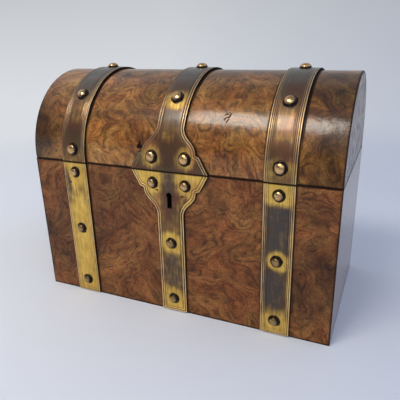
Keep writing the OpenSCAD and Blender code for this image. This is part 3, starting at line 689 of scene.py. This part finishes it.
print("straps")
strap = {
    "places": {"left": -77.5, "middle": 1.0, "right": 77.5},  # x of each strap's middle
    "width": 20.5, "thick": 1.8, "foot": 0.8,  # foot is how high a body strap ends
    "step": 1.5, "fieldColumns": 9,  # how closely its points lie
    "unevenness": 0.03,
    # the rolled moulding: distance from the edge, height above the veneer
    "plainMoulding": [
        (0, 0), (0, 1.2), (0.1, 1.42), (0.3, 1.56), (0.65, 1.6), (0.95, 1.54), (1.1, 1.36),
        (1.25, 1.35), (1.4, 1.5), (1.7, 1.67), (2.0, 1.66), (2.2, 1.5), (2.35, 1.4), (2.5, 1.5),
        (2.8, 1.7), (3.15, 1.73), (3.4, 1.6), (3.55, 1.48), (3.7, 1.6), (3.95, 1.76), (4.3, 1.77),
        (4.45, 1.66), (4.58, 1.61), (4.7, 1.68), (5.0, 1.8)],
    "flareMoulding": [
        (0, 0), (0, 1.2), (0.1, 1.46), (0.35, 1.62), (0.8, 1.62), (1.02, 1.45), (1.15, 1.25),
        (1.5, 1.25), (1.65, 1.45), (1.95, 1.7), (2.5, 1.72), (2.75, 1.55), (2.88, 1.42),
        (3.15, 1.42), (3.3, 1.56), (3.6, 1.72), (4.0, 1.78), (5.0, 1.8)],
    # dark lines, wax and painted shade in the grooves and painted shadow on the side wall, and
    # rubbed lines, partly painted highlight, as distances from the edge and how strong each is
    "plainGrooves": ([0, 0.09, 0.25, 0.35, 0.9, 1.05, 1.3, 1.45, 2.2, 2.35, 2.5, 3.4, 3.55, 3.7,
                      4.45, 4.58, 4.7],
                     [1, 1, 0.5, 0, 0, 0.9, 0.9, 0, 0, 0.5, 0, 0, 0.6, 0, 0, 0.4, 0]),
    "flareGrooves": ([0, 0.09, 0.25, 0.35, 1.0, 1.12, 1.55, 1.7, 2.72, 2.86, 3.2, 3.35],
                     [1, 1, 0.5, 0, 0, 0.96, 0.96, 0, 0, 0.7, 0.7, 0]),
    "plainWearAndGlint": ([0, 0.1, 0.3, 0.85, 1.05, 1.4, 1.6, 2.0, 2.2, 2.5, 2.8, 3.1, 3.4],
                    [0, 0.3, 1.0, 0.8, 0, 0, 0.6, 0.6, 0, 0, 0.2, 0.2, 0]),
    "flareWearAndGlint": ([0, 0.1, 0.3, 0.95, 1.1, 1.6, 1.8, 2.6, 2.8],
                    [0, 0.5, 1.0, 1.0, 0, 0, 0.7, 0.7, 0]),
    "lidWearAndGlint": 0.75, "lidRelief": 0.5,  # the lid's rubbed lines, with their painted highlight, are duller and its moulding shallower
    "darkening": 0.4,  # how dark the film of dirt is
}
flare = {
    "halfWidth": 29.3, "notchHalf": 22.9, "notchStep": 2.7, "length": 30, "steps": 12,
    # painted light: on the body the moulding on its right side is golden, with paler grooves and
    # weaker rubbed lines, where the light catches it
    "golden": {"groove": 0.45, "wearAndGlint": 0.6, "polish": 1.1},
}
strapHoles = {  # empty nail holes through the body straps, as (x, z, radius)
    "left": [(-82.5, 94.3, 0.5)],
    "middle": [(-8.0, 96.5, 0.55), (11.2, 93.6, 0.6)],
}

# How each strap has aged. Areas are (across, level, half width, half length), where a level is a
# height in mm on the body and degrees round the lid
strapLooks = {
    # polish starts from ground and has a tone after each area, the later over the earlier; cool
    # is where the patina is grey instead of brown, darkening where a thin film of wax and dirt
    # has stayed, copper where the gold has a blush; lines says how strong the grooves and rubbed
    # lines are on the left and the right side, and on the lid the stronger right side's rubbed
    # lines are painted highlight as well as wear
    "left_body_strap": {
        "ground": 1.1, "polish": [(-9, 90, 6, 17, 0.2), (2, 84, 9, 15, 0.65)],
        "cool": [(-8, 88, 7, 18)]},
    "middle_body_strap": {
        "ground": 0.35, "polish": [(-17, 106, 13, 15, 0.95), (17, 106, 13, 15, 0.95),
                                   (0, 92, 7, 26, 0.12), (0, 57, 12, 9.5, 0.95),
                                   (0, 36, 8, 16, 0.25), (0, 6, 30, 15, 0.95)],
        "cool": [(0, 98, 5, 14), (0, 36, 9, 16)], "copper": [(18, 100, 6, 7), (-10, 87, 4, 9)]},
    "right_body_strap": {
        "ground": 0.12, "polish": [(0, 106, 30, 12, 0.9), (1, 57, 8.5, 8.5, 1.0),
                                   (0, 3, 30, 19, 0.85), (11, 62, 4, 40, 0.55),
                                   (11, 34, 5, 22, 0.6), (-11, 60, 1.5, 40, 0.4)],
        "cool": [(0, 78, 13, 26), (-3, 36, 11, 20)]},
    "left_lid_strap": {
        "ground": 0.06, "polish": [(0, 36, 40, 13, 0.24), (0, 3, 40, 7, 0.28)],
        "cool": [(0, 95, 20, 50)], "darkening": [(1, 19, 8, 8)], "lines": (0.3, 1.2)},
    "middle_lid_strap": {
        "ground": 0.06, "polish": [(0, 45, 14, 9, 0.55), (0, 23, 6, 9, 0.3),
                                   (-13, 7, 8.5, 9, 0.72), (13, 7, 8.5, 9, 0.72)],
        "cool": [(0, 98, 20, 50), (0, 32, 8, 8)], "darkening": [(0, 12, 8, 20)],
        "copper": [(-14, 13, 7, 6), (17, 10, 6, 7)], "lines": (0.3, 0.85)},
    "right_lid_strap": {
        "ground": 0.05, "polish": [(0, 34, 40, 18, 0.18), (0, 3, 40, 12, 0.36)],
        "cool": [(0, 98, 20, 48)], "lines": (0.8, 1.0)},
}


def areaShare(area, onLid, across, along, edge=1.2):
    # 1 inside, 0 past the edge
    w, level, wide, long = area
    s = rimDrop + math.radians(level) * box["halfDepth"] if onLid else box["bodyTop"] - level
    return 1 - smoothStep(0.5, edge, np.hypot((across - w) / wide, (along - s) / long))


def areaMark(areas, onLid, across, along):
    shares = [areaShare(area, onLid, across, along) for area in areas]
    return np.max(shares, axis=0) if shares else np.zeros(len(across))


def bend(a, b, c, t):
    return (1 - t) ** 2 * a + 2 * t * (1 - t) * b + t * t * c


def flareSide():
    # half width and distance from the seam: in from the tip to a notch, a swell, then the strap
    half, length = strap["width"] / 2, flare["length"]
    tip, notchHalf, notch = flare["halfWidth"], flare["notchHalf"], length * 0.39
    swell = notchHalf - flare["notchStep"]
    low, high = half + 0.54 * (swell - half), half + 0.09 * (swell - half)
    curves = [
        ((tip, 0), ((tip + notchHalf) / 2, notch / 2), (notchHalf, notch)),
        ((swell, length * 0.42), (swell, length * 0.58), (low, length * 0.72)),
        ((low, length * 0.72), (high, length * 0.84), (half, length)),
    ]
    side = []
    for a, b, c in curves:
        for i in range(flare["steps"] + 1):
            t = i / flare["steps"]
            point = (bend(a[0], b[0], c[0], t), bend(a[1], b[1], c[1], t))
            if not side or math.dist(side[-1], point) > 1e-6:
                side.append(point)
    return side


def mouldingColumns(rows, flared, distances):
    # for each row of a strap, how far from its middle each line of the moulding runs
    half = strap["width"] / 2
    if not flared:
        return [[half - d for d in distances] for s in rows]
    apart, step = 0.08, 0.03  # mm between the outline's points and between the places tried
    around, inward, past = 9, 12, 6  # mm looked at along and across, and the flare's influence
    side = flareSide()
    (w0, s0), (w1, s1) = side[:2]  # the outline is drawn on past both of its ends
    line = [(w0 + 8 * (w0 - w1), s0 + 8 * (s0 - s1))] + side + [(half, rows[-1] + 20)]
    dense = []
    for (w0, s0), (w1, s1) in zip(line, line[1:]):
        count = max(int(math.hypot(w1 - w0, s1 - s0) / apart), 1)
        dense += [(w0 + (w1 - w0) * i / count, s0 + (s1 - s0) * i / count) for i in range(count)]
    dense = np.array(dense)
    widths = np.interp(rows, [s for w, s in side] + [rows[-1] + 1], [w for w, s in side] + [half])
    columns = []
    for s, width in zip(rows, widths):
        if s > flare["length"] + past:
            columns.append([half - d for d in distances])
            continue
        # each line runs at the outermost place that is at least d from the outline
        near = dense[np.abs(dense[:, 1] - s) < around]
        tries = np.arange(width, width - inward, -step)
        away = np.hypot(near[:, 0] - tries[:, None], near[:, 1] - s).min(1)
        away[0] = 0
        columns.append([float(tries[np.argmax(away >= d - 1e-9)]) if d else float(width)
                        for d in distances])
    return columns


def makeStrap(side, part):
    node, x = f"{side}_{part}_strap", strap["places"][side]
    look = strapLooks[node]
    onLid, flared = part == "lid", side == "middle"
    kind = "flare" if flared else "plain"
    distances, heights = zip(*strap[kind + "Moulding"])
    thick = strap["thick"]
    total = 2 * rimDrop + barrelArc if onLid else box["bodyTop"] - strap["foot"]
    close = [(0.5, 0.5, 0.25), (total - 0.5, 0.5, 0.25)]  # at both ends
    if flared:
        close += [(15, 15, 0.6), (12.2, 1.0, 0.15)]  # round the notches
    if not onLid:
        close += [(total - d, 0.01, 0.02) for d in distances[2:]]  # the moulding crosses the foot
    rows = spacing(0, total, strap["step"], close)
    faceRows = rows
    if onLid and flared:  # the flare is drawn on the strap's face, further out than the veneer
        grow = (box["halfDepth"] + thick) / box["halfDepth"]
        faceRows = [s if s < rimDrop else rimDrop + (s - rimDrop) * grow for s in rows]
    points, spots = [], []
    for s, sides in zip(rows, mouldingColumns(faceRows, flared, distances)):
        inner, outward = sides[-1], list(zip(sides, distances))
        row = [(-w, d) for w, d in outward]
        for i in range(1, strap["fieldColumns"]):
            w = -inner + 2 * inner * i / strap["fieldColumns"]
            row.append((w, distances[-1] + inner - abs(w)))
        row += outward[::-1]
        for i, (w, d) in enumerate(row):
            deep = d if onLid else min(d, total - s)
            height = float(np.interp(deep, distances[1:], heights[1:]))
            if onLid:
                height = thick - strap["lidRelief"] * (thick - height)
            if i in (0, len(row) - 1):
                height = 0.0
            else:
                height -= strap["unevenness"] * (1 + wobble(x + w, s, 0, 9))
            if onLid:
                points.append(roundBarrel(s, height, x + w))
            else:
                points.append((x + w, -box["halfDepth"] - height, box["bodyTop"] - s))
            spots.append((w, s, deep))
    wide = len(row)
    faces = []
    for i in range(len(rows) - 1):
        a = i * wide
        faces += [(a + j, a + j + 1, a + j + wide + 1, a + j + wide) for j in range(wide - 1)]
        faces.append((a, a + wide, a + 2 * wide - 1, a + wide - 1))
    for first in (0, (len(rows) - 1) * wide):  # both ends
        faces.append(tuple(range(first, first + wide)))

    across, along, lines = np.array(spots).T
    edge = 0.3  # the side wall and outer edge keep their painted shadow and dirt
    groove, wearAndGlint = (np.interp(lines, *strap[kind + mark]) for mark in ("Grooves", "WearAndGlint"))
    polish = np.full(len(across), look["ground"])
    for *area, value in look["polish"]:
        polish += areaShare(area, onLid, across, along, 1.15) * (value - polish)
    polish *= 1 - 0.08 * smoothStep(5.2, 4.4, lines)  # a little less on the moulding
    if onLid:
        onLeft, onRight = look["lines"]
        strength = np.where(across < 0, onLeft, onRight)
        groove = np.where(lines < edge, groove, groove * strength)
        wearAndGlint = wearAndGlint * strength * strap["lidWearAndGlint"]
    elif flared:
        golden = (across > strap["width"] / 2) & (lines > edge) & (lines < 3)
        groove = np.where(golden, groove * flare["golden"]["groove"], groove)
        wearAndGlint = np.where(golden, wearAndGlint * flare["golden"]["wearAndGlint"], wearAndGlint)
        polish = np.where(golden, flare["golden"]["polish"], polish)
    cool, darkening, copper = (areaMark(look.get(mark, []), onLid, across, along)
                          for mark in ("cool", "darkening", "copper"))
    ends = np.minimum(along, total - along) if onLid else along  # dirt lies along the seam
    darkening = np.maximum(strap["darkening"] * darkening, 0.95 * (1 - smoothStep(0.25, 0.8, ends)))
    marks = {"polish": polish, "groove": np.maximum(groove, darkening), "wearAndGlint": wearAndGlint, "cool": cool,
             "copper": copper, "across": across, "along": along}
    return buildPiece(f"{side}{part.title()}Strap", points, faces, brass,
                      "lid" if onLid else "box", node, marks, sharp=50)


def agedBrass():
    # Rolled brass under old lacquer: golden where a cloth has reached it, brown and grey between,
    # black with wax and painted shade in the grooves and corners, pale on rubbed lines that are
    # partly painted highlight, and a thin pale gloss over all of it
    material, add, place = newMaterial("agedRolledBrass")
    marks = {m: add("Attribute", attribute_name=m).outputs["Fac"]
             for m in ("polish", "groove", "wearAndGlint", "cool", "copper", "across", "along")}
    # millimetres across and along the strap, and its place in the box, so that no two are alike
    parts = add("SeparateXYZ", place).outputs
    strip = add("CombineXYZ", marks["across"], marks["along"], parts["X"])
    drawn = add("VectorMath MULTIPLY", strip, (1 / 1.6, 1 / 14, 40))
    streak = add("TexNoise", drawn, 1.0, 4.0, 0.6)
    cloud = add("TexNoise", place, 1 / (6 * mm), 5.0, 0.6)
    cloud = add("Mix FLOAT", 0.55, cloud, streak)
    # golden where the polish reaches, patina elsewhere
    broken = add("MapRange", cloud, 0.3, 0.7, -0.24, 0.24)
    reach = add("Math ADD", marks["polish"], broken)
    golden = add("MapRange SMOOTHSTEP", reach, 0.12, 0.88)
    tint = add("TexNoise", place, 1 / (13 * mm), 3.0)
    warm = add("ValToRGB", tint, stops=[(0.35, "#6A4736"), (0.65, "#66543C"), (0.5, "#674D39")])
    grey = add("ValToRGB", tint, stops=[(0.35, "#5E4A3E"), (0.65, "#524B48"), (0.5, "#5A5046")])
    patina = add("Mix RGBA", marks["cool"], warm, grey)
    gold = add("ValToRGB", cloud, stops=[(0.35, "#C8A04A"), (0.65, "#F8D06A")])
    metal = add("Mix RGBA", golden, patina, gold)
    # bare pale metal on the rubbed lines, partly painted highlight, and a copper blush along the
    # edges of the gold
    stays = add("MapRange", cloud, 0.38, 0.56, 0.45, 1.0)
    rubbed = add("Math MULTIPLY", marks["wearAndGlint"], stays)
    edgeLines = add("Mix RGBA", rubbed, metal, "#FAD49A")
    copper = add("MapRange", golden, 0.0, 0.45, 0.0, 1.0)
    copper = add("Math PINGPONG", copper, 0.12)
    copper = add("Math MULTIPLY_ADD", marks["copper"], 0.4, copper)
    blush = add("Mix RGBA", copper, edgeLines, "#BC7A50")
    # black: wax and painted shade in the grooves, painted shade in the corners and on the walls of
    # the keyhole clear of the face, and painted shadow on the side walls
    face = -box["halfDepth"] - strap["thick"]
    deep = add("MapRange", parts["Y"], (face + 0.14) * mm, (face + 0.4) * mm)
    holeShade = add("Math MULTIPLY", deep, keyholeShade(add, place))
    dark = add("Math MAXIMUM", marks["groove"], cornerDirtAndShade(add, 1.1, 0.9))
    dark = add("Math MAXIMUM", dark, holeShade)
    blackened = add("Mix RGBA", dark, blush, "#160E0A")
    bare = add("Math SUBTRACT", 1.0, dark)
    # more lacquer is left the higher it is
    kept = add("MapRange", parts["Z"], 108 * mm, 172 * mm, 0.16, 0.85)
    lacquer = add("Math MULTIPLY", bare, kept)
    rough = add("MapRange", bare, 0.0, 1.0, 0.75, 0.44)
    setSurface(add, {"Base Color": blackened, "Metallic": bare, "Roughness": rough,
                     "Specular IOR Level": 0.15, "Coat Weight": lacquer, "Coat Roughness": 0.16,
                     "Coat IOR": 1.5})
    return material


def circle(x, z, radius, count=12):
    turns = [2 * math.pi * i / count for i in range(count)]
    return [(x + radius * math.cos(turn), z + radius * math.sin(turn)) for turn in turns]


def keyholeOutline():
    # a round hole over a slot
    r, w = keyhole["round"] / 2, keyhole["slot"] / 2
    x, z = strap["places"]["middle"], keyhole["height"]
    start, steps = math.asin(w / r), 24
    outline = []
    for i in range(steps + 1):
        turn = -math.pi / 2 + start + (2 * math.pi - 2 * start) * i / steps
        outline.append((x + r * math.cos(turn), z + r * math.sin(turn)))
    return outline + [(x + side * w, z - keyhole["reach"]) for side in (-1, 1)]


def cutHoles(piece, outlines):
    # each outline, in x and z, is cut from in front of the face right through the strap
    front, back = -box["halfDepth"] - 3.5, -box["halfDepth"] + 0.8
    points, faces = [], []
    for outline in outlines:
        first, count = len(points), len(outline)
        points += [(u, y, v) for y in (front, back) for u, v in outline]
        faces += [tuple(first + i for i in range(count)),
                  tuple(first + 2 * count - 1 - i for i in range(count))]
        for i in range(count):
            a, b = first + i, first + (i + 1) % count
            faces.append((a, b, b + count, a + count))
    cutter = addObject("holeCutter", solidMesh("holeCutter", points, faces))
    cut = piece.modifiers.new("holes", "BOOLEAN")
    cut.operation = "DIFFERENCE"
    cut.solver = "EXACT"
    cut.object = cutter
    bpy.context.view_layer.update()
    depsgraph = bpy.context.evaluated_depsgraph_get()
    done = bpy.data.meshes.new_from_object(piece.evaluated_get(depsgraph))
    piece.modifiers.remove(cut)
    piece.data = done
    bpy.data.objects.remove(cutter)


brass = agedBrass()
for side in strap["places"]:
    bodyStrap = makeStrap(side, "body")
    makeStrap(side, "lid")
    outlines = [keyholeOutline()] if side == "middle" else []
    outlines += [circle(*hole) for hole in strapHoles.get(side, [])]
    if outlines:
        cutHoles(bodyStrap, outlines)


print("nails")
nails = {
    # levels are heights in mm on the body, degrees round the barrel on the lid; pair is for the
    # flare, half the distance between two nails and their level; brightening says between which
    # heights, in mm, a head turns from brown to bright, the brown being partly dirt and partly
    # painted shade
    "body": {"width": 7.4, "levels": (102.5, 57, 11.6), "pair": (12.4, 101.4),
             "rubbed": (1.3, 2.75)},
    "lid": {"width": 8.3, "levels": (7, 46.5, 90, 133.5, 173), "pair": (12.4, 7),
            "rubbed": (1.15, 2.65)},
    "onTop": (0.35, 1.3),  # the same for the nails on top of the lid
    "lean": 0.3,  # painted shade: the brown reaches higher on the right side
    "rise": 3.0, "shank": 1.8, "grip": 5.8, "segments": 40,
    "wax": 0.6,  # dry polish caught round the head
    # how uneven each is, how closely, what sets one nail apart from the next, and how far out
    "dome": (0.1, 2.6, 3.1, -0.08), "waxEdge": (0.4, 2.2, 1.7, 0),
}


def nailProfile(width):
    # radius and height, from the tip of the shank to the top of the dome
    half, shank, rise = width / 2, nails["shank"] / 2, nails["rise"]
    wax, under, foot, steps = half + nails["wax"], -0.05, 0.35, 12
    profile = [(shank, -nails["grip"]), (shank, under), (wax - 0.1, under), (wax, 0.03),
               (half + 0.15, 0.1), (half - 0.02, foot)]
    for i in range(1, steps + 1):
        turn = math.radians(90 * i / steps)
        profile.append((half * math.cos(turn) ** 0.92 if i < steps else 0,
                        foot + (rise - foot) * math.sin(turn)))
    return profile


def nailPlaces(side, part):
    # where each nail of a strap meets its face, and the way it points
    x, kind = strap["places"][side], nails[part]
    spots = [(x, level) for level in kind["levels"]]
    if side == "middle":
        half, level = kind["pair"]
        spots[:1] = [(x - half, level), (x + half, level)]
    reach = box["halfDepth"] + strap["thick"]
    if part == "body":
        return [((u, -reach, z), (0, -1, 0)) for u, z in spots]
    ways = [(0, -math.cos(math.radians(a)), math.sin(math.radians(a))) for u, a in spots]
    return [((u, reach * out[1], box["barrelHeight"] + reach * out[2]), out)
            for (u, a), out in zip(spots, ways)]


def makeNails(side, part):
    width, count = nails[part]["width"], nails["segments"]
    profile = nailProfile(width)
    points, faces, rim = [], [], []
    for number, (origin, out) in enumerate(nailPlaces(side, part)):
        out = Vector(out).normalized()
        right = Vector((1, 0, 0))
        up = out.cross(right)
        low, high = nails[part]["rubbed"] if out.z < 0.9 else nails["onTop"]
        first = len(points)
        points.append(tuple(Vector(origin) - out * nails["grip"]))
        rim.append(1.0)
        for radius, height in profile[:-1]:
            much, size, seed, grown = nails["waxEdge" if radius > width / 2 + 0.2 else "dome"]
            for i in range(count):
                turn = 2 * math.pi * i / count
                offset = right * math.cos(turn) + up * math.sin(turn)
                dent = much * wobble(*(offset * radius), size, number * seed + origin[0]) + grown
                if height < -1:  # the shank stays round
                    dent = 0
                around = offset * max(radius + dent, 0.05)
                points.append(tuple(Vector(origin) + around + out * height))
                # painted shade: the brown rim reaches higher on each head's right side
                lean = nails["lean"] * max(offset.x, 0)
                rim.append(1 - float(smoothStep(low + lean, high + lean, height)))
        points.append(tuple(Vector(origin) + out * profile[-1][1]))
        rim.append(0.0)
        for i in range(count):
            j = (i + 1) % count
            faces.append((first, first + 1 + i, first + 1 + j))
            for k in range(len(profile) - 2):
                a = first + 1 + k * count
                faces.append((a + i, a + count + i, a + count + j, a + j))
            a = first + 1 + (len(profile) - 2) * count
            faces.append((a + i, len(points) - 1, a + j))
    buildPiece(f"{side}{part.title()}Nails", points, faces, nailBrass,
               "lid" if part == "lid" else "box", f"{side}_{part}_nails",
               {"rim": rim}, sharp=60)


def antiqueNailBrass():
    # Cast and turned brass nails: bright on the crown, brown where they meet the strap, partly
    # dirt and partly painted shade that reaches higher on the right side, duller low down
    material, add, place = newMaterial("antiqueNailBrass")
    rim = add("Attribute", attribute_name="rim").outputs["Fac"]
    cloud = add("TexNoise", place, 1 / (2.5 * mm), 4.0)
    darkening = add("Math ADD", rim, cloud)
    share = add("MapRange", darkening, 0.45, 1.2)
    height = add("SeparateXYZ", place).outputs["Z"]
    low = add("MapRange", height, 70 * mm, 112 * mm, 0.62, 0.0)
    crown = add("Mix RGBA", low, "#DCB07A", "#80692F")
    metal = add("Mix RGBA", share, crown, "#1E130B")
    rough = add("MapRange", share, 0.0, 1.0, 0.2, 0.45)
    setSurface(add, {"Base Color": metal, "Metallic": 1.0, "Roughness": rough,
                     "Coat Weight": 0.4, "Coat Roughness": 0.12, "Coat IOR": 1.5})
    return material


nailBrass = antiqueNailBrass()
for side in strap["places"]:
    makeNails(side, "body")
    makeNails(side, "lid")


[[list(corner) for corner in bounds] for bounds in (cadBounds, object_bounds())]
